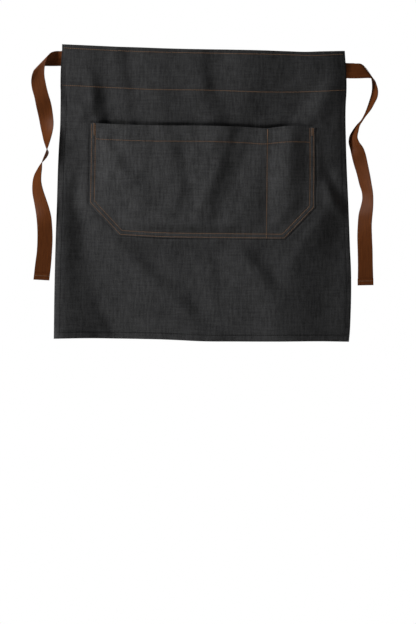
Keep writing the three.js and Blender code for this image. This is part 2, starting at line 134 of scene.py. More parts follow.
# Apron panel. One cut of charcoal denim of about 340 grams a square metre, hemmed down both sides and along
# the bottom and hanging open from its top edge. Its outline, hems and folds are those of the photograph.
# All sizes here are millimetres, with x from the middle and z or down from the origin.
panel_width, panel_length = 480, 497
left_bow, right_bow = 8, 15
bow_power = 4
cloth_thickness = 0.7
turned_thickness = 1.4
cloth_gap = 0.3
side_hem = 12
bottom_hem = 14
fold_edge_radius = 0.4
side_row, bottom_row = 9, 11
band_depth = 69
grid_step = 3.1
left_side = [  # down, x
    (0, -240.4), (32, -242.6), (93, -243.2), (134, -244.0), (165, -246.0), (200, -247.6),
    (256, -249.2), (338, -252.0), (419, -253.8), (497, -254.8),
]
right_side = [  # down, x
    (0, 240.2), (12, 241.0), (45, 243.2), (73, 243.3), (93, 242.1), (165, 242.6), (215, 244.3),
    (256, 246.2), (338, 249.3), (379, 251.1), (450, 250.4), (480, 249.0), (497, 247.4),
]
top_side = [  # x, z
    (-240, 8.6), (-190, 6.4), (-149, 4.5), (-108, 3.2), (-67, 1.7), (-26, 0.6), (15, -0.1), (55, -0.7),
    (96, -1.6), (137, -3.1), (175, -4.3), (200, -3.5), (240, -2.7),
]
bottom_side = [  # x, z
    (-255, -492.3), (-190, -491.4), (-149, -491.9), (-108, -492.6), (-67, -493.6), (-40, -494.8),
    (-6, -496.5), (55, -497.0), (130, -497.2), (200, -496.7), (250, -497.4),
]
top_stitches = [  # x, z
    (-240, 3.6), (-143, -1.4), (-53, -4.2), (8, -5.3), (143, -8.1), (188, -9.3), (240, -7.2),
]
band_stitches = [  # x, z
    (-243, -59.9), (-143, -64.8), (-98, -66.9), (8, -68.5), (109, -71.7), (166, -71.6), (243, -68.3),
]
panel_folds = [  # x, down, end x, end down, half width on the left, on the right, height towards the front
    (-165, 14, -165, 58, 14, 14, -1.2),
    (-126, 12, -124, 58, 12, 12, -1.2),
    (-6, 2, -2, 62, 30, 12, 1.2),
    (18, 4, 22, 60, 12, 14, -0.8),
    (70, 8, 72, 60, 28, 50, 3.2),
    (150, 14, 160, 60, 30, 20, -1.6),
    (218, 10, 222, 58, 22, 16, 1.6),
    (-240, -20, 240, -20, 66, 50, 5.6),
    (-190, 72, -188, 124, 16, 8, 2.2),
    (-163, 95, -157, 128, 13, 34, -5.2),
    (-118, 74, -112, 122, 10, 24, -1.8),
    (-72, 74, -66, 124, 26, 30, 1.6),
    (0, 70, 22, 124, 34, 17, 2.6),
    (120, 84, 106, 124, 60, 24, -3.0),
    (178, 78, 140, 124, 22, 12, -2.0),
    (206, 80, 190, 124, 14, 17, 2.4),
    (-225, 70, -204, 112, 12, 10, 1.2),
    (190, 214, 228, 272, 11, 9, 2.4),
    (206, 204, 242, 256, 11, 11, -2.4),
    (184, 276, 98, 490, 85, 52, 4.8),
    (226, 296, 224, 480, 62, 40, -6.2),
    (203, 273, 150, 368, 14, 30, 1.9),
    (-238, 240, -246, 497, 14, 24, 4.6),
    (-208, 262, -162, 497, 34, 75, -6.8),
    (-156, 324, -16, 468, 22, 16, 1.9),
    (-134, 308, 8, 452, 15, 34, -2.8),
    (24, 330, 30, 400, 14, 14, -1.5),
    (60, 338, 100, 386, 14, 10, 2.2),
    (82, 326, 128, 384, 26, 80, -4.8),
    (-188, 446, -164, 490, 10, 8, 0.8),
    (-174, 440, -150, 486, 9, 14, -1.3),
    (14, 440, 26, 497, 20, 20, 2.0),
    (-150, 530, 80, 530, 40, 85, -9.5),
]
fold_scale = 1.35
longest_fade = 50
groove_width = 1.2
calm_edge = 4
calm_width = 26
wave_count = 36
rumple_start = 12
seam_marks = {  # depth of the groove, height of the puckers, seed
    "band": (0.35, 0.10, 5), "top": (0.30, 0.06, 6), "bottom": (0.25, 0.10, 7),
    "left": (0.25, 0.08, 8), "right": (0.25, 0.08, 9),
}
edge_rolls = {  # width of the rolled edge of a hem, how far it turns back
    "right": (2.4, 1.3), "bottom": (2.2, 1.2), "left": (1.6, 0.3),
    "left_of_band": (2.6, -0.6), "top": (4.6, -0.8), "low_right": (24, 3.0),
}
band_end = (62, 74)
low_right_start = (330, 450)
pocket_left_side = [(125, -193.0), (190, -193.6), (262, -195.1)]  # down, x
pocket_right_side = [(125, 190.0), (190, 190.6), (262, 189.9)]  # down, x
pocket_mouth = [  # x, z
    (-193, -124.8), (-181, -125.6), (-98, -129.0), (8, -129.9), (70, -132.0), (109, -134.0),
    (130, -131.6), (146, -130.6), (190, -131.8),
]
pocket_bottom = [(-143, -316.6), (-76, -320.3), (30, -322.0), (138, -323.1)]  # x, z
left_cut = ((-195.1, -260.4), (-142.9, -316.7))
right_cut = ((189.9, -269.4), (138.0, -323.1))
# Each pair below is where a shape starts and where it is whole, from the mouth or inside the pocket's seam
mouth_hold, corner_hold, corner_reach = (25, 0), (3, 22), 60
mouth_gap_depth, mouth_gap_rise, mouth_gap_inside = 4.2, (-8, 3), (4, 56)
mouth_step, mouth_step_rise, mouth_step_inside = 1.8, (-3.2, 0.2), (-1, 4)
pocket_edge_puff, puff_rise, puff_fade, puff_top = 1.0, (-0.2, 1.2), (16, 2), (-2, 4)


def set_out(places):
    """Takes places read off the photograph along their lines of sight to the depth at which they lie"""
    eye_line = np.array([camera.location.x, 0, camera.location.z]) / MM
    return eye_line + (places - eye_line) * (1 + places[..., 1:2] * MM / camera_distance)


def smooth_curve(places, values, at):
    """Reads a smooth curve through values at places, with the slopes of the parabola through each three"""
    slopes = np.gradient(values, places, axis=0)
    at = np.clip(at, places[0], places[-1])
    row = np.clip(np.searchsorted(places, at, side="right") - 1, 0, len(places) - 2)
    run = places[row + 1] - places[row]
    share = (at - places[row]) / run
    if values.ndim > 1:
        run, share = run[..., None], share[..., None]
    rest = 1 - share
    return (
        (1 + 2 * share) * rest ** 2 * values[row] + share * rest ** 2 * run * slopes[row]
        + share ** 2 * (3 - 2 * share) * values[row + 1] - share ** 2 * rest * run * slopes[row + 1]
    )


def read_edge(table, at):
    """Reads an edge or a stitch row at one place or many"""
    places, values = np.array(table, dtype=float).T
    return smooth_curve(places, values, np.asarray(at, dtype=float))


def ease(value, start, end):
    """Rises smoothly from 0 at start to 1 at end"""
    share = np.clip((value - start) / (end - start), 0, 1)
    return share ** 2 * (3 - 2 * share)


def fold_heights(folds, x, down):
    """Adds up folds that run straight between two places. A fold can be steep on one side."""
    total = np.zeros(np.broadcast(x, down).shape)
    for start_x, start_down, end_x, end_down, left_half, right_half, height in folds:
        run_x, run_down = end_x - start_x, end_down - start_down
        run = math.hypot(run_x, run_down)
        along = ((x - start_x) * run_x + (down - start_down) * run_down) / run
        aside = ((x - start_x) * run_down - (down - start_down) * run_x) / run
        half = np.where(aside < 0, left_half, right_half)
        beyond = np.maximum(np.maximum(-along, along - run), 0)
        fade = min(left_half + right_half, longest_fade)
        total += height * np.exp(-(aside / half) ** 2 - (beyond / fade) ** 2)
    return total


def rumple(seed, x, z, lengths, height, upright):
    """Faint uneven rumples: many low waves of mixed lengths, most of them running up and down"""
    dice = np.random.default_rng(seed)
    total = np.zeros(np.broadcast(x, z).shape)
    for _ in range(wave_count):
        length = dice.uniform(*lengths)
        angle = dice.normal(0, upright)
        phase = dice.uniform(0, 2 * math.pi)
        total += length * np.sin(2 * math.pi * (x * math.cos(angle) + z * math.sin(angle)) / length + phase)
    return height * total / (lengths[1] * math.sqrt(wave_count))


def seam_relief(offset, x, depth, pucker, seed):
    """What a stitch row does to cloth: a narrow groove, and puckers that fade away from it"""
    dice = np.random.default_rng(seed)
    wave = np.zeros(np.shape(x))
    for length in (6.5, 8.7, 11.9, 15.3):
        wave = wave + np.sin(2 * math.pi * x / length + dice.uniform(0, 2 * math.pi))
    return -depth * np.exp(-(offset / groove_width) ** 2) + pucker * wave / 2 * np.exp(-np.abs(offset) / 6)


def roll_back(inside, width, depth):
    """How far the folded edge of a hem turns back, a distance inside that edge"""
    return depth * np.clip(1 - inside / width, 0, 1) ** 2


def cut_line(cut, x):
    """Height of the straight line through a cut-off corner of the pocket"""
    (start_x, start_z), (end_x, end_z) = cut
    return start_z + (x - start_x) * (end_z - start_z) / (end_x - start_x)


def cut_lean(cut):
    """How much further a cut corner lies straight up than square to itself"""
    (start_x, start_z), (end_x, end_z) = cut
    return math.hypot(end_x - start_x, end_z - start_z) / abs(end_x - start_x)


def pocket_lower(x, inside=0):
    """Height of the pocket's lower outline, or of a line a distance inside it"""
    left = cut_line(left_cut, x) + inside * cut_lean(left_cut)
    right = cut_line(right_cut, x) + inside * cut_lean(right_cut)
    return np.maximum(np.maximum(left, right), read_edge(pocket_bottom, x) + inside)


def pocket_seams(x, z):
    """How far a place lies inside each sewn edge of the pocket: its sides, cut corners and bottom"""
    return [
        x - read_edge(pocket_left_side, -z),
        read_edge(pocket_right_side, -z) - x,
        (z - cut_line(left_cut, x)) / cut_lean(left_cut),
        (z - cut_line(right_cut, x)) / cut_lean(right_cut),
        z - read_edge(pocket_bottom, x),
    ]


def panel_bow(x, z):
    """How far the panel's sides hang behind its middle"""
    left, right = read_edge(left_side, -z), read_edge(right_side, -z)
    from_middle = (2 * x - left - right) / (right - left)
    return np.where(from_middle < 0, left_bow, right_bow) * np.abs(from_middle) ** bow_power


def panel_depth(x, z):
    """Y of the panel's front. Folds rise outside the pocket, which holds the cloth flat where it is sewn."""
    left, right = read_edge(left_side, -z), read_edge(right_side, -z)
    bow = panel_bow(x, z)
    seam = np.minimum.reduce(pocket_seams(x, z))
    below_mouth = read_edge(pocket_mouth, x) - z
    inside = np.minimum(seam, below_mouth)
    side = np.minimum.reduce(pocket_seams(x, z)[:2])
    held_outside = ease(-seam, calm_edge, calm_edge + calm_width)
    from_corner = np.hypot(np.minimum(side, corner_reach), below_mouth)
    held_above = ease(below_mouth, *mouth_hold) * ease(from_corner, *corner_hold)
    freedom = 1 - (1 - held_outside) * (1 - held_above)
    rumples = rumple(3, x, z, lengths=(18, 70), height=0.55, upright=0.5) * ease(-inside, 0, rumple_start)
    folds = fold_scale * fold_heights(panel_folds, x, -z) * freedom + rumples
    gap = mouth_gap_depth * ease(below_mouth, *mouth_gap_rise) * ease(seam, *mouth_gap_inside)
    gap = gap + mouth_step * ease(below_mouth, *mouth_step_rise) * ease(seam, *mouth_step_inside)
    puff = pocket_edge_puff * ease(-seam, *puff_rise) * ease(-seam, *puff_fade) * ease(below_mouth, *puff_top)
    from_bottom = z - read_edge(bottom_side, x)
    hems = seam_relief(z - read_edge(band_stitches, x), x, *seam_marks["band"])
    hems = hems + seam_relief(z - read_edge(top_stitches, x), x, *seam_marks["top"])
    hems = hems + seam_relief(from_bottom - bottom_row, x, *seam_marks["bottom"])
    hems = hems + seam_relief(x - left - side_row, z, *seam_marks["left"])
    hems = hems + seam_relief(right - x - side_row, z, *seam_marks["right"])
    below_band = ease(-z, *band_end)
    roll = roll_back(right - x, *edge_rolls["right"]) + roll_back(from_bottom, *edge_rolls["bottom"])
    roll = roll + roll_back(x - left, *edge_rolls["left"]) * below_band
    roll = roll + roll_back(x - left, *edge_rolls["left_of_band"]) * (1 - below_band)
    roll = roll + roll_back(read_edge(top_side, x) - z, *edge_rolls["top"])
    roll = roll + roll_back(right - x, *edge_rolls["low_right"]) * ease(-z, *low_right_start)
    return bow + gap - folds - hems - puff + roll


def panel_front(across, down):
    """Front of the panel at shares of its width and length, as x, y and z"""
    z = -down * panel_length
    for _ in range(3):
        x = (1 - across) * read_edge(left_side, -z) + across * read_edge(right_side, -z)
        z = (1 - down) * read_edge(top_side, x) + down * read_edge(bottom_side, x)
    return np.stack([x, panel_depth(x, z), z], axis=-1)


def lines(length, spacing, fine):
    """Places of grid lines over a length, at an even spacing with finer stretches put in"""
    found = [0.0, length]
    for start, end, step in fine:
        found += list(np.arange(start, end + step / 2, step))
    for place in np.linspace(0, length, round(length / spacing) + 1):
        if all(place < start - spacing / 2 or place > end + spacing / 2 for start, end, step in fine):
            found.append(place)
    return np.unique(np.round(found, 4))


def make_cloth(name, places, flat):
    """Makes a sheet from a grid. places holds each grid point in mm, flat the same one on the flat cloth."""
    rows, columns = places.shape[:2]
    bpy.ops.object.select_all(action="DESELECT")
    bpy.ops.mesh.primitive_grid_add(x_subdivisions=columns - 1, y_subdivisions=rows - 1, size=1)
    sheet = bpy.context.object
    sheet.name = sheet.data.name = name
    mesh = sheet.data
    found = np.empty(len(mesh.vertices) * 3)
    mesh.vertices.foreach_get("co", found)
    found = found.reshape(-1, 3)
    column = np.rint((found[:, 0] + 0.5) * (columns - 1)).astype(int)
    row = np.rint((0.5 - found[:, 1]) * (rows - 1)).astype(int)
    mesh.vertices.foreach_set("co", (set_out(places[row, column]) * MM).ravel())
    corner = np.empty(len(mesh.loops), dtype=int)
    mesh.loops.foreach_get("vertex_index", corner)
    mesh.uv_layers[0].name = "cloth"
    mesh.uv_layers["cloth"].data.foreach_set("uv", (flat[row, column] * MM)[corner].ravel())
    mesh.update()
    return sheet, row, column


def round_edges(sheet, shell_name, radius):
    """Rounds the edges of a sheet that a modifier thickens, and makes both steps part of its mesh"""
    edge = sheet.modifiers.new("rounded_edge", "BEVEL")
    edge.width = radius * MM
    edge.segments = 2
    edge.limit_method = "ANGLE"
    edge.angle_limit = math.radians(60)
    bpy.ops.object.select_all(action="DESELECT")
    sheet.select_set(True)
    bpy.context.view_layer.objects.active = sheet
    bpy.ops.object.modifier_apply(modifier=shell_name)
    bpy.ops.object.modifier_apply(modifier="rounded_edge")
    bpy.ops.object.shade_smooth_by_angle(angle=math.radians(50))


def thicken_cloth(sheet, turned):
    """Gives a sheet its thickness, doubled where it is turned over. Its second material is on the back."""
    group = sheet.vertex_groups.new(name="turned_cloth")
    for part, share in ((~turned, cloth_thickness / turned_thickness), (turned, 1.0)):
        group.add([int(place) for place in np.flatnonzero(part)], share, "REPLACE")
    shell = sheet.modifiers.new("cloth_thickness", "SOLIDIFY")
    shell.thickness = turned_thickness * MM
    shell.offset = -1
    shell.vertex_group = "turned_cloth"
    shell.material_offset = 1
    round_edges(sheet, "cloth_thickness", fold_edge_radius)


def make_denim(name, warp_colour, weft_colour):
    """Charcoal denim, a twill of dark warp over a paler weft. Uneven threads give it streaks both ways."""
    cloth = bpy.data.materials.new(name)
    cloth.use_nodes = True
    tree = cloth.node_tree
    shader = tree.nodes["Principled BSDF"]
    shader.inputs["Roughness"].default_value = 0.88
    shader.inputs["Specular IOR Level"].default_value = 0.25
    shader.inputs["Sheen Weight"].default_value = 0.08
    shader.inputs["Sheen Roughness"].default_value = 0.45
    place = add_node(tree, "ShaderNodeUVMap", uv_map="cloth").outputs["UV"]
    # Real slubs are under 1 mm wide, and they are drawn coarser so that the eye sees them. A warp slub is
    # 3.4 mm wide and 23 mm long here, and a weft slub lies across it, 3 mm wide and 33 mm long.
    warp_stretch = add_node(tree, "ShaderNodeMapping", {"Vector": place, "Scale": (290, 44, 1)})
    warp = add_node(tree, "ShaderNodeTexNoise", {
        "Vector": warp_stretch.outputs["Vector"], "Scale": 1.0, "Detail": 3.0, "Roughness": 0.6,
    }, noise_dimensions="2D")
    weft_stretch = add_node(tree, "ShaderNodeMapping", {"Vector": place, "Scale": (30, 330, 1)})
    weft = add_node(tree, "ShaderNodeTexNoise", {
        "Vector": weft_stretch.outputs["Vector"], "Scale": 1.0, "Detail": 3.0, "Roughness": 0.6,
    }, noise_dimensions="2D")
    # Single threads show as a grain. They are 0.4 mm apart, and drawn at 2 mm so that the grain can be seen.
    grain = add_node(tree, "ShaderNodeTexNoise", {
        "Vector": place, "Scale": 480.0, "Detail": 2.0, "Roughness": 0.7,
    }, noise_dimensions="2D")
    # Washing leaves paler and darker clouds about 70 mm wide
    wash = add_node(tree, "ShaderNodeTexNoise", {
        "Vector": place, "Scale": 14.0, "Detail": 2.0, "Roughness": 0.5,
    }, noise_dimensions="2D")
    # The twill line climbs at 63 degrees, 0.8 mm apart, drawn at 1.2 mm
    twill_turn = add_node(tree, "ShaderNodeMapping", {
        "Vector": place, "Rotation": (0, 0, math.radians(27)), "Scale": (260, 260, 1),
    })
    twill = add_node(tree, "ShaderNodeTexWave", {
        "Vector": twill_turn.outputs["Vector"], "Scale": 1.0, "Distortion": 0.6,
    })
    blend = None
    for pattern, share in ((warp, 0.9), (weft, 0.55), (grain, 0.7), (wash, 0.35)):
        centred = add_node(tree, "ShaderNodeMath", {0: pattern.outputs["Fac"], 1: 0.5}, operation="SUBTRACT")
        blend = add_node(tree, "ShaderNodeMath", {
            0: centred.outputs["Value"], 1: share, 2: 0.5 if blend is None else blend.outputs["Value"],
        }, operation="MULTIPLY_ADD")
    threads = add_node(tree, "ShaderNodeMath", {
        0: twill.outputs["Fac"], 1: 0.18, 2: blend.outputs["Value"],
    }, operation="MULTIPLY_ADD", use_clamp=True)
    colour = add_node(tree, "ShaderNodeMix", {
        "Factor": threads.outputs["Value"], "A": linear(warp_colour), "B": linear(weft_colour),
    }, data_type="RGBA")
    relief = add_node(tree, "ShaderNodeMath", {
        0: twill.outputs["Fac"], 1: 0.5, 2: blend.outputs["Value"],
    }, operation="MULTIPLY_ADD")
    bump = add_node(tree, "ShaderNodeBump", {
        "Height": relief.outputs["Value"], "Strength": 0.5, "Distance": 0.3 * MM,
    })
    tree.links.new(colour.outputs["Result"], shader.inputs["Base Color"])
    tree.links.new(bump.outputs["Normal"], shader.inputs["Normal"])
    return cloth


denim_face = make_denim("charcoal_denim_face", "#1e1e1f", "#575758")
denim_reverse = make_denim("charcoal_denim_reverse", "#38383a", "#767678")

fine_across = [(0, 2.8, 0.7), (4, 14, 1.25), (466, 476, 1.25), (477.2, panel_width, 0.7)]  # start, end, step
fine_down = [(0, 9, 1), (63, 76, 1.3), (482, 494, 1.2), (494.9, panel_length, 0.7)]
panel_across = lines(panel_width, grid_step, fine_across) / panel_width
panel_down = lines(panel_length, grid_step, fine_down) / panel_length
share_across, share_down = np.meshgrid(panel_across, panel_down)
panel_places = panel_front(share_across, share_down)
panel, panel_row, panel_column = make_cloth("apron_cloth", panel_places, panel_places[..., [0, 2]])
hem_line = 1 - bottom_hem / panel_length
band_line = band_depth / panel_length
at_side = np.minimum(panel_across, 1 - panel_across)[panel_column] < (side_hem + 0.5) / panel_width
lower_part = panel_down[panel_row] > band_line
panel.data.materials.append(denim_face)
panel.data.materials.append(denim_reverse)
thicken_cloth(panel, (at_side & lower_part) | (panel_down[panel_row] > hem_line))
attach(panel, "root")
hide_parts("apron_panel")

# Waistband facing. A strip of the same denim sewn behind the top of the panel by the two rows of stitches,
# with its lower edge turned under. At both ends it passes behind a sewn-in tie.
facing_depth = 72
facing_hem = 10
facing_inset = 2.5
tie_thickness = 1.2
tie_sewn_in = 32
facing_down = lines(facing_depth, grid_step, [(60, facing_depth, 1.3)])
facing_start = facing_inset / panel_width
strip_across, strip_down = np.meshgrid(
    np.clip(panel_across, facing_start, 1 - facing_start), facing_down / panel_length,
)
facing_places = panel_front(strip_across, strip_down)
from_end = np.minimum(strip_across, 1 - strip_across) * panel_width
tie_room = (tie_thickness + cloth_gap) * (1 - ease(from_end, tie_sewn_in + 2, tie_sewn_in + 16))
facing_places[..., 1] += cloth_thickness + cloth_gap + tie_room
facing, facing_row, _ = make_cloth("waistband_strip", facing_places, facing_places[..., [0, 2]])
facing.data.materials.append(denim_reverse)
facing.data.materials.append(denim_face)
thicken_cloth(facing, facing_down[facing_row] > facing_depth - facing_hem)
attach(facing, "root")
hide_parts("waistband_facing")

# Pocket. A patch of the same denim with its lower corners cut off, sewn on with two rows of stitches, and
# parted by a single row into a wide pocket and a narrow one. It was cut a little full, so it stands forward
# between the seams.
outer_row = 2.5
inner_row = 8.9
divider_top = (109.2, -134)
divider_end = (107.2, -317)
mouth_hem = 26
pocket_slack, mouth_slack, full_slack_depth = 9.5, 7.0, 60
seam_rise = (0.5, (1, 26), 80)  # share that rises steeply, start and end of that, end of the slow rise
bottom_rise = (0.85, (-1, 16), 80)
divider_rise = (0.16, (1, 16), 60)
right_rise = 44
pocket_fold_scale = 1.25
mouth_hem_rise = 0.5
pocket_marks = {  # depth of the groove, height of the puckers, seed
    "outer": (0.45, 0.05, 11), "inner": (0.6, 0.12, 12),
    "mouth": (0.35, 0.14, 13), "divider": (0.4, 0.12, 14),
}
pocket_folds = [  # x, down, end x, end down, half width on the left, on the right, height towards the front
    (36, 144, 16, 240, 30, 14, 3.0),
    (98, 142, 46, 252, 42, 34, -4.9),
    (108, 130, 98, 198, 50, 10, -3.0),
    (94, 200, 84, 292, 14, 10, 1.2),
    (-62, 160, -44, 236, 26, 13, 1.4),
    (-34, 164, -18, 240, 12, 22, -1.5),
    (-152, 154, -116, 206, 10, 14, -1.7),
    (-166, 162, -134, 214, 12, 10, 1.4),
    (-86, 128, -84, 158, 10, 12, -1.2),
    (140, 128, 132, 250, 26, 22, 2.8),
    (172, 236, 164, 262, 10, 10, 1.6),
]


def rise_from(distance, steep_share, steep, slow_end):
    """Rises from nothing at a seam to one well away from it: a share of it steeply, and the rest slowly"""
    return steep_share * ease(distance, *steep) + (1 - steep_share) * ease(distance, 0, slow_end)


def divider_x(z):
    """X of the row that parts the pocket"""
    return np.interp(-z, (-divider_top[1], -divider_end[1]), (divider_top[0], divider_end[0]))


def pocket_depth(x, z):
    """Y of the pocket's front"""
    seams = pocket_seams(x, z)
    below_mouth = read_edge(pocket_mouth, x) - z
    slack = mouth_slack + (pocket_slack - mouth_slack) * ease(below_mouth, 0, full_slack_depth)
    left, right, left_corner, right_corner, bottom = (seam - inner_row for seam in seams)
    outer = rise_from(left, *seam_rise) * ease(right, 0, right_rise) * rise_from(bottom, *bottom_rise)
    outer = outer * rise_from(left_corner, *seam_rise) * rise_from(right_corner, *seam_rise)
    from_divider = x - divider_x(z)
    divided = rise_from(np.abs(from_divider), *divider_rise)
    folds = pocket_fold_scale * fold_heights(pocket_folds, x, -z)
    folds = folds + rumple(4, x, z, lengths=(16, 60), height=0.8, upright=0.5)
    nearest = np.minimum.reduce(seams)
    relief = seam_relief(nearest - outer_row, x + z, *pocket_marks["outer"])
    relief = relief + seam_relief(nearest - inner_row, x - z, *pocket_marks["inner"])
    relief = relief + seam_relief(below_mouth - mouth_hem, x, *pocket_marks["mouth"])
    relief = relief + seam_relief(from_divider, z, *pocket_marks["divider"]) * ease(seams[4], 4, 9)
    mouth_thick = mouth_hem_rise * ease(below_mouth, mouth_hem + 3, mouth_hem - 1)
    lift = cloth_gap + turned_thickness + (slack + folds) * outer * divided + mouth_thick + relief
    return panel_bow(x, z) - lift


pocket_start_x, pocket_width = -193.9, 384
pocket_step, seam_step = 2.6, 1.1
seam_strip, mouth_strip = 11, 31
middle_rows = 62
fine_lines = [
    (0, seam_strip, seam_step), (pocket_width - seam_strip, pocket_width, seam_step), (299, 305, 1.0),
]
pocket_across = lines(pocket_width, pocket_step, fine_lines)
mouth_lines = lines(mouth_strip, pocket_step, [(0, 4, 1.3), (23, 29, 1.0)])
inside_lines = lines(seam_strip, seam_step, [])
pocket_x = pocket_across + pocket_start_x
column_x = pocket_x[None, :].repeat(len(mouth_lines) + middle_rows + len(inside_lines), axis=0)
mouth_z = read_edge(pocket_mouth, pocket_x)
upper_rows = mouth_z[None, :] - mouth_lines[:, None]
lower_rows = np.stack([pocket_lower(pocket_x, inside) for inside in inside_lines[::-1]])
shares = (np.arange(1, middle_rows + 1) / (middle_rows + 1))[:, None]
middle = (1 - shares) * upper_rows[-1:] + shares * lower_rows[:1]
column_z = np.concatenate([upper_rows, middle, lower_rows])
lean = read_edge(pocket_left_side, -column_z) - pocket_x[0]
column_x = column_x + lean * (1 - pocket_across / pocket_width)[None, :]
pocket_places = np.stack([column_x, pocket_depth(column_x, column_z), column_z], axis=-1)
pocket, pocket_row, pocket_column = make_cloth("pocket_patch", pocket_places, pocket_places[..., [0, 2]])
# The pocket's denim is a paler copy of the panel's, painted lighter for the brighter light on the apron's
# middle
lit_pocket_denim = make_denim("charcoal_denim_pocket_painted_light", "#222223", "#5f5f60")
margin = np.minimum.reduce(pocket_seams(column_x, column_z)) < inner_row + 1.5
turned_back = margin | (mouth_z[None, :] - column_z < mouth_hem + 1.5)
pocket.data.materials.append(lit_pocket_denim)
pocket.data.materials.append(denim_reverse)
thicken_cloth(pocket, turned_back[pocket_row, pocket_column])
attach(pocket, "root")
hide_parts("pocket")

# Ties. Two lengths of brown cotton twill tape, sewn in between the panel and its facing. Each comes out at a
# side edge, folds over and hangs with a slow twist. The free end is turned back and sewn.
tie_width = 25.5
tie_hem = 10
tie_round = 0.35
tie_step = 2.0
sewn_in_rows = 4
tie_row_share = 0.88
left_tie_drop, right_tie_drop = 24, 33
# Lines straight across a tape from where it comes out, as x, down and back from the seam for its upper edge,
# then for its lower edge. The upper edge of a tape becomes its inner edge below the fold.
left_turns = [
    (-243.5, 3, 0, -254, 28.5, 0), (-244.5, 3, 0, -266, 28.5, 0), (-248.5, 3, -1, -273.5, 28.5, -1),
    (-254.5, 4, -4, -280, 29.5, -4), (-260, 6.5, -8, -285, 32.5, -8), (-264, 11.5, -11, -289, 37, -11),
    (-267, 18.5, -12.5, -291.5, 43, -11), (-269.5, 26, -13, -292.5, 49.5, -9.5),
    (-270.5, 34.5, -13.5, -293, 54.5, -7), (-270.5, 44.5, -13, -292.5, 60.5, -4.5),
    (-268.5, 56.5, -12, -291, 68.5, -2), (-264.5, 73.5, -8.5, -287.5, 81, -1), (-259, 92, -1.5, -284, 99, 0),
    (-256, 111, -0.5, -280, 116, 5.5), (-255, 127, -3.5, -277, 131, 9), (-257, 140.5, -7, -274, 144, 12),
    (-261, 155, -10, -271, 156.5, 13.5), (-265, 167, -11, -267, 168, 14),
    (-268.5, 176.5, -11, -263.5, 175, 14), (-271.5, 184, -11, -266.5, 183, 14),
    (-274.5, 192.5, -11, -275.5, 193.5, 14), (-275, 202.5, -11, -282, 203.5, 13.5),
    (-276, 213.5, -10, -288, 215.5, 13), (-276, 225.5, -9.5, -290.5, 229, 11),
    (-273, 238.5, -9, -290.5, 243.5, 9), (-268.5, 252, -8.5, -288, 258.5, 6.5),
    (-263.5, 266.5, -7, -285.5, 273, 3.5), (-259, 283.5, -4, -283.5, 289.5, 0),
    (-257, 304, -1.5, -282.5, 307, -1.5), (-256.5, 324, 1, -282.5, 326, 0.5),
    (-257.5, 344.5, 3.5, -283.5, 344.5, 3), (-259, 365, 6, -286, 363.5, 5), (-262, 391.5, 9, -289, 390, 9),
]
right_turns = [
    (249, 23.5, 0, 248, 49.5, 0), (255, 23.5, 0, 263.5, 49.5, 0), (258, 24, 0, 277, 49, 0),
    (263, 24, 0, 282.5, 49, 0), (267, 24.5, 0.5, 286.5, 49.5, 0.5), (271, 27, 2, 290, 52, 1.5),
    (277, 33, 12, 292.5, 56, 6), (282.5, 41, 22.5, 294, 60.5, 5.5), (286, 51.5, 25.5, 295.5, 65.5, 4),
    (287, 62.5, 26, 296.5, 71.5, 4), (286, 74.5, 26, 295.5, 81, 3), (282.5, 87, 25, 290.5, 91.5, 1),
    (278, 100.5, 23, 284, 103, -1.5), (273.5, 111.5, 21.5, 276.5, 112.5, -4), (268, 121, 20, 270, 122, -5),
    (261, 128.5, 19, 265.5, 129.5, -6), (254, 138, 18, 263, 139.5, -6), (248.5, 148, 16.5, 261.5, 149.5, -5),
    (247, 158.5, 14, 264.5, 157.5, -4), (249.5, 169.5, 10.5, 271.5, 167.5, -2),
    (252, 181.5, 7, 276, 179.5, 0.5), (255.5, 195, 9, 279, 193.5, -1), (260.5, 211, 10, 282.5, 210.5, -3),
    (265, 229, 10.5, 285.5, 228, -5), (269.5, 243.5, 10, 288, 244.5, -7.5),
    (270, 255.5, 7.5, 288.5, 259.5, -9), (267.5, 267, 4, 288, 272.5, -9.5), (264, 280, 1, 287, 284, -9),
    (262.5, 295.5, 0.5, 286, 298.5, -8), (261.5, 317.5, -1, 286.5, 319, -6), (262, 341, -1, 287.5, 341, -4),
    (262.5, 368.5, 0, 288, 368.5, -1.5), (262, 400, 2.5, 289, 399.5, 1.5),
]


def unit(vectors):
    """Vectors of length one"""
    return vectors / np.linalg.norm(vectors, axis=-1, keepdims=True)


def path_length(points):
    """Length along a path up to each of its points"""
    return np.concatenate([[0], np.cumsum(np.linalg.norm(np.diff(points, axis=0), axis=1))])


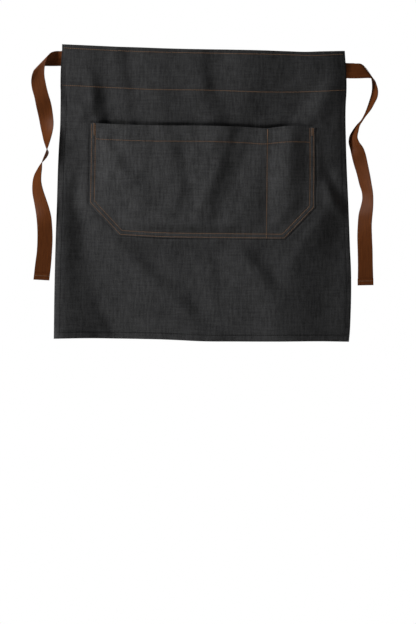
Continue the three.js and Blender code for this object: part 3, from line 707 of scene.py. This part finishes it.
def tape_places(side, drop, turns):
    """Grid of places over a tape, from its sewn-in end to its turned-back free end, and its flat places"""
    start_x = read_edge(left_side if side < 0 else right_side, drop)
    start_z = read_edge(top_side, start_x) - drop
    tape_behind = cloth_thickness + cloth_gap + tie_thickness / 2
    start_y = panel_depth(start_x, start_z) + tape_behind
    upper, lower = [], []
    for step in range(sewn_in_rows):
        x = start_x - side * tie_sewn_in * (1 - step / sewn_in_rows)
        y = panel_depth(x, start_z) + tape_behind
        upper.append((x, y, start_z + tie_width / 2))
        lower.append((x, y, start_z - tie_width / 2))
    for upper_x, upper_down, upper_back, lower_x, lower_down, lower_back in turns:
        upper.append((upper_x, start_y + upper_back, -upper_down))
        lower.append((lower_x, start_y + lower_back, -lower_down))
    edges = np.array([upper, lower], dtype=float)
    middle = edges.mean(axis=0)
    knots = np.concatenate([[0], np.cumsum(np.sqrt(np.linalg.norm(np.diff(middle, axis=0), axis=1)))])
    fine = np.linspace(0, knots[-1], 4001)
    length = path_length(smooth_curve(knots, middle, fine))
    stations = np.linspace(0, length[-1], round(length[-1] / tie_step) + 1)
    at = np.interp(stations, length, fine)
    upper_edge, lower_edge = (smooth_curve(knots, edge, at) for edge in edges)
    centre = (upper_edge + lower_edge) / 2
    across = (lower_edge - upper_edge) / 2
    down_way = unit(centre[-1] - centre[-2])
    front_way = side * unit(np.cross(across[-1], down_way))
    turn_radius = tie_thickness / 2 + 0.2
    turned = []
    for angle in np.linspace(0, math.pi, 9)[1:]:
        turned.append(turn_radius * (math.sin(angle) * down_way + (math.cos(angle) - 1) * front_way))
    for back_up in np.linspace(0, tie_hem, 7)[1:]:
        turned.append(-2 * turn_radius * front_way - back_up * down_way)
    centre = np.concatenate([centre, centre[-1] + np.array(turned)])
    across = np.concatenate([across, np.repeat(across[-1:], len(turned), axis=0)])
    rows = np.array([-1, -0.94, -0.8, -0.5, -0.2, 0.1, 0.4, 0.65, 0.85, 0.95, 1])
    places = centre[:, None, :] + across[:, None, :] * rows[None, :, None]
    sewn = side * (centre[:, 0] - start_x) < 0
    places[sewn, :, 1] = panel_depth(places[sewn, :, 0], places[sewn, :, 2]) + tape_behind
    upper_run, lower_run = (path_length(centre + way * across)[:, None] for way in (-1, 1))
    along = upper_run * (1 - rows) / 2 + lower_run * (1 + rows) / 2
    flat = np.stack(np.broadcast_arrays(rows[None, :] * tie_width / 2, along), axis=-1)
    hem_line = np.searchsorted(stations, stations[-1] - tie_hem + 2)
    sewn_from = centre[hem_line] - across[hem_line] * tie_row_share
    sewn_to = centre[hem_line] + across[hem_line] * tie_row_share
    return places, flat, [(sewn_from[0], sewn_from[2]), (sewn_to[0], sewn_to[2])]


def make_twill_tape(name, dark_colour, light_colour):
    """Brown cotton twill tape. The floats of its twill give it a soft shine and a fine slanting line."""
    tape = bpy.data.materials.new(name)
    tape.use_nodes = True
    tree = tape.node_tree
    shader = tree.nodes["Principled BSDF"]
    shader.inputs["Roughness"].default_value = 0.52
    shader.inputs["Specular IOR Level"].default_value = 0.2
    place = add_node(tree, "ShaderNodeUVMap", uv_map="cloth").outputs["UV"]
    # Yarns run along the tape 0.5 mm apart, and are drawn at 1.7 mm so that they can be seen
    stretch = add_node(tree, "ShaderNodeMapping", {"Vector": place, "Scale": (600, 40, 1)})
    threads = add_node(tree, "ShaderNodeTexNoise", {
        "Vector": stretch.outputs["Vector"], "Scale": 1.0, "Detail": 2.0,
    }, noise_dimensions="2D")
    # The twill lines are 0.9 mm apart and drawn at 1.3 mm
    turn = add_node(tree, "ShaderNodeMapping", {
        "Vector": place, "Rotation": (0, 0, math.radians(45)), "Scale": (240, 240, 1),
    })
    twill = add_node(tree, "ShaderNodeTexWave", {
        "Vector": turn.outputs["Vector"], "Scale": 1.0, "Distortion": 0.8,
    })
    blend = add_node(tree, "ShaderNodeMath", {
        0: twill.outputs["Fac"], 1: 0.5, 2: threads.outputs["Fac"],
    }, operation="MULTIPLY_ADD")
    share = add_node(tree, "ShaderNodeMapRange", {
        "Value": blend.outputs["Value"], "From Min": 0.3, "From Max": 1.2,
    })
    colour = add_node(tree, "ShaderNodeMix", {
        "Factor": share.outputs["Result"], "A": linear(dark_colour), "B": linear(light_colour),
    }, data_type="RGBA")
    bump = add_node(tree, "ShaderNodeBump", {
        "Height": blend.outputs["Value"], "Strength": 0.5, "Distance": 0.25 * MM,
    })
    tree.links.new(colour.outputs["Result"], shader.inputs["Base Color"])
    tree.links.new(bump.outputs["Normal"], shader.inputs["Normal"])
    return tape


twill_tape = make_twill_tape("brown_cotton_twill_tape", "#613112", "#82461b")


def make_tie(name, side, drop, turns, node):
    places, flat, hem_row = tape_places(side, drop, turns)
    tie, _, _ = make_cloth(name, places, flat)
    tie.data.materials.append(twill_tape)
    shell = tie.modifiers.new("tape_thickness", "SOLIDIFY")
    shell.thickness = tie_thickness * MM
    shell.offset = 0
    round_edges(tie, "tape_thickness", tie_round)
    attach(tie, "root")
    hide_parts(node)
    return tie, hem_row


left_tie, left_tie_row = make_tie("left_tie_tape", -1, left_tie_drop, left_turns, "tie_left")
right_tie, right_tie_row = make_tie("right_tie_tape", 1, right_tie_drop, right_turns, "tie_right")

# Stitches. The seams are topstitched in copper polyester thread, with bar tacks where the pocket is pulled
# hardest. The hems are sewn in black. Each stitch is a short length of thread pulled down at both ends.
stitch_pitch = 3.4
stitch_length = 2.9
thread_width = 0.95
thread_sink = 0.12
stitch_unevenness = 0.16
thread_dip = 0.35
thread_range = (0.94, 1.06)
tack_pitch = 1.9
left_tack = (-187.6, -183.8, -125.4, 20)  # start x, end x, top z, height
right_tack = (183.6, 188.0, -133.4, 13)
row_points = 60
needle_reach = 300

bpy.ops.object.select_all(action="DESELECT")
bpy.ops.mesh.primitive_uv_sphere_add(segments=6, ring_count=5, radius=0.5, rotation=(0, math.pi / 2, 0))
one_stitch = bpy.context.object
one_stitch.name = "one_stitch"
one_stitch.data.uv_layers[0].name = "thread"
bpy.ops.object.transform_apply(location=False, rotation=True, scale=False)
for corner in one_stitch.data.vertices:
    along = 2 * corner.co.x
    fuller = thread_width * math.sqrt(1 + along ** 2)
    corner.co = (corner.co.x, corner.co.y * fuller + thread_dip * along ** 4, corner.co.z * fuller)
bpy.ops.object.shade_smooth()


def needle_target(*cloths):
    """The faces that a needle meets in finished cloths"""
    places, faces = [], []
    for cloth in cloths:
        start = len(places)
        places += [corner.co.copy() for corner in cloth.data.vertices]
        faces += [[start + corner for corner in face.vertices] for face in cloth.data.polygons]
    return BVHTree.FromPolygons(places, faces)


def make_thread(name, colour, ply_colour):
    """Spun polyester thread. Its twisted plies give a fine slanting line and a soft shine."""
    thread = bpy.data.materials.new(name)
    thread.use_nodes = True
    tree = thread.node_tree
    shader = tree.nodes["Principled BSDF"]
    shader.inputs["Roughness"].default_value = 0.55
    shader.inputs["Specular IOR Level"].default_value = 0.45
    shader.inputs["Sheen Weight"].default_value = 0.15
    place = add_node(tree, "ShaderNodeUVMap", uv_map="thread").outputs["UV"]
    # Plies turn about once a millimetre, so a stitch shows three turns
    twist = add_node(tree, "ShaderNodeMapping", {"Vector": place, "Scale": (1, 3, 1)})
    plies = add_node(tree, "ShaderNodeTexWave", {
        "Vector": twist.outputs["Vector"], "Scale": 0.314, "Distortion": 0.0,
    }, bands_direction="DIAGONAL")
    colour_mix = add_node(tree, "ShaderNodeMix", {
        "Factor": plies.outputs["Fac"], "A": linear(ply_colour), "B": linear(colour),
    }, data_type="RGBA")
    tree.links.new(colour_mix.outputs["Result"], shader.inputs["Base Color"])
    return thread


copper_thread = make_thread("copper_polyester_thread", "#b88f6b", "#8f6b4f")
black_thread = make_thread("black_polyester_thread", "#1c1c1d", "#101011")


def along_path(points, pitch=stitch_pitch):
    """Where the needle goes in and comes out, along a path over the front, in mm"""
    points = np.asarray(points, dtype=float)
    length = path_length(points)
    count = max(1, round(length[-1] / pitch))
    step = length[-1] / count
    ends = []
    for stitch in range(count):
        into = stitch * step + (step - stitch_length) / 2
        ends.append([
            [np.interp(at, length, points[:, axis]) for axis in (0, 1)] for at in (into, into + stitch_length)
        ])
    return ends


def bar_tack(start_x, end_x, top_z, height):
    """A bar tack: a dense zigzag across a seam"""
    return [
        [(start_x, top_z - step * tack_pitch), (end_x, top_z - (step + 0.4) * tack_pitch)]
        for step in range(round(height / tack_pitch))
    ]


def sew(name, ends, target, thread, seed, from_behind=False):
    """Sews stitches through cloth, given where each starts and ends, and joins them as one piece"""
    dice = random.Random(seed)
    side = 1 if from_behind else -1
    made = []
    for pair in ends:
        met = []
        for x, z in pair:
            wander = dice.uniform(-1, 1) * stitch_unevenness
            needle = np.array([(x, way * side * needle_reach, z + wander) for way in (1, -1)])
            start, end = (Vector(place) * MM for place in set_out(needle))
            met.append(target.ray_cast(start, end - start))
        (one, normal, _, _), (other, _, _, _) = met
        if one is None or other is None:
            continue
        outward = normal if normal.y * side > 0 else -normal
        run = other - one
        across = run.cross(outward).normalized()
        outward = across.cross(run).normalized()
        middle = (one + other) / 2 + outward * (thread_width / 2 - thread_sink) * MM
        width = MM * dice.uniform(*thread_range)
        stitch = bpy.data.objects.new(name, one_stitch.data.copy())
        axes = Matrix((run, -outward * width, across * width)).transposed()
        stitch.matrix_world = Matrix.Translation(middle) @ axes.to_4x4()
        bpy.context.collection.objects.link(stitch)
        made.append(stitch)
    bpy.ops.object.select_all(action="DESELECT")
    for stitch in made:
        stitch.select_set(True)
    bpy.context.view_layer.objects.active = made[0]
    bpy.ops.object.join()
    bpy.ops.object.transform_apply(location=True, rotation=True, scale=True)
    row = bpy.context.object
    row.name = row.data.name = name
    row.data.materials.append(thread)
    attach(row, "root")
    return row


front_target = needle_target(panel, pocket)
back_target = needle_target(panel, facing)


def row_along(table, start_x, end_x, rise=0):
    """A stitch row that follows an edge or row of the photograph, a distance above it"""
    x = np.linspace(start_x, end_x, row_points)
    return np.stack([x, read_edge(table, x) + rise], axis=1)


def pocket_row_paths(inside):
    """The straight runs of a stitch row a distance inside the pocket's outline, looked for every 0.25 mm"""
    x = np.linspace(-196, 192, 1553)
    low = pocket_lower(x, inside)
    sides = np.minimum(x - read_edge(pocket_left_side, -low), read_edge(pocket_right_side, -low) - x)
    x, low = x[sides >= inside], low[sides >= inside]
    flat_part = np.flatnonzero(low <= read_edge(pocket_bottom, x) + inside + 1e-6)
    first, last = flat_part[0], flat_part[-1]
    lower = np.stack([x, low], axis=1)
    runs = [lower[:first + 1], lower[first:last + 1], lower[last:]]
    for edge, sign, end in ((pocket_left_side, 1, lower[0]), (pocket_right_side, -1, lower[-1])):
        z = np.linspace(end[1], read_edge(pocket_mouth, end[0]) - 1.2, 30)
        runs.append(np.stack([read_edge(edge, -z) + sign * inside, z], axis=1))
    return runs


top_row = row_along(top_stitches, -238, 238)
band_row = row_along(band_stitches, -241.5, 241.5)
pocket_rows_outer = [pair for run in pocket_row_paths(outer_row) for pair in along_path(run)]
pocket_rows_inner = [pair for run in pocket_row_paths(inner_row) for pair in along_path(run)]
mouth_row = row_along(pocket_mouth, -183.5, 182.0, -mouth_hem)
divider_z = np.linspace(divider_top[1] - 1, divider_end[1] - 3, 30)
divider_row = np.stack([divider_x(divider_z), divider_z], axis=1)
hem_z = np.linspace(-76, -486, row_points)
left_hem = np.stack([read_edge(left_side, -hem_z) + side_row, hem_z], axis=1)
right_hem = np.stack([read_edge(right_side, -hem_z) - side_row, hem_z], axis=1)
low_hem = row_along(bottom_side, -250, 243, bottom_row)
# The divider starts with dense stitches, back over its first three points
divider_start = np.stack([divider_x(divider_z[:3]) + 0.5, divider_z[:3]], axis=1)
tacks = bar_tack(*left_tack) + bar_tack(*right_tack) + along_path(divider_start, stitch_pitch / 2)

for name, ends, thread, slot, seed, shows_behind in (
    ("top_edge_stitches", along_path(top_row), copper_thread, "tie_tape", 21, True),
    ("waistband_stitches", along_path(band_row), copper_thread, "tie_tape", 22, True),
    ("pocket_outer_stitches", pocket_rows_outer, copper_thread, "tie_tape", 23, True),
    ("pocket_inner_stitches", pocket_rows_inner, copper_thread, "tie_tape", 24, True),
    ("pocket_mouth_stitches", along_path(mouth_row), copper_thread, "tie_tape", 25, False),
    ("pocket_divider_stitches", along_path(divider_row), copper_thread, "tie_tape", 26, True),
    ("pocket_bar_tacks", tacks, copper_thread, "tie_tape", 27, True),
    ("left_hem_stitches", along_path(left_hem), black_thread, "denim", 28, True),
    ("right_hem_stitches", along_path(right_hem), black_thread, "denim", 29, True),
    ("bottom_hem_stitches", along_path(low_hem), black_thread, "denim", 30, True),
):
    sew(name, ends, front_target, thread, seed)
    if shows_behind:
        sew(name + "_behind", ends, back_target, thread, seed + 40, from_behind=True)

for tie, tie_row, name in (
    (left_tie, left_tie_row, "left_tie_stitches"), (right_tie, right_tie_row, "right_tie_stitches"),
):
    tie_target = needle_target(tie)
    tie_ends = along_path(tie_row)
    sew(name, tie_ends, tie_target, copper_thread, 31)
    sew(name + "_behind", tie_ends, tie_target, copper_thread, 32, from_behind=True)

bpy.data.objects.remove(one_stitch, do_unlink=True)
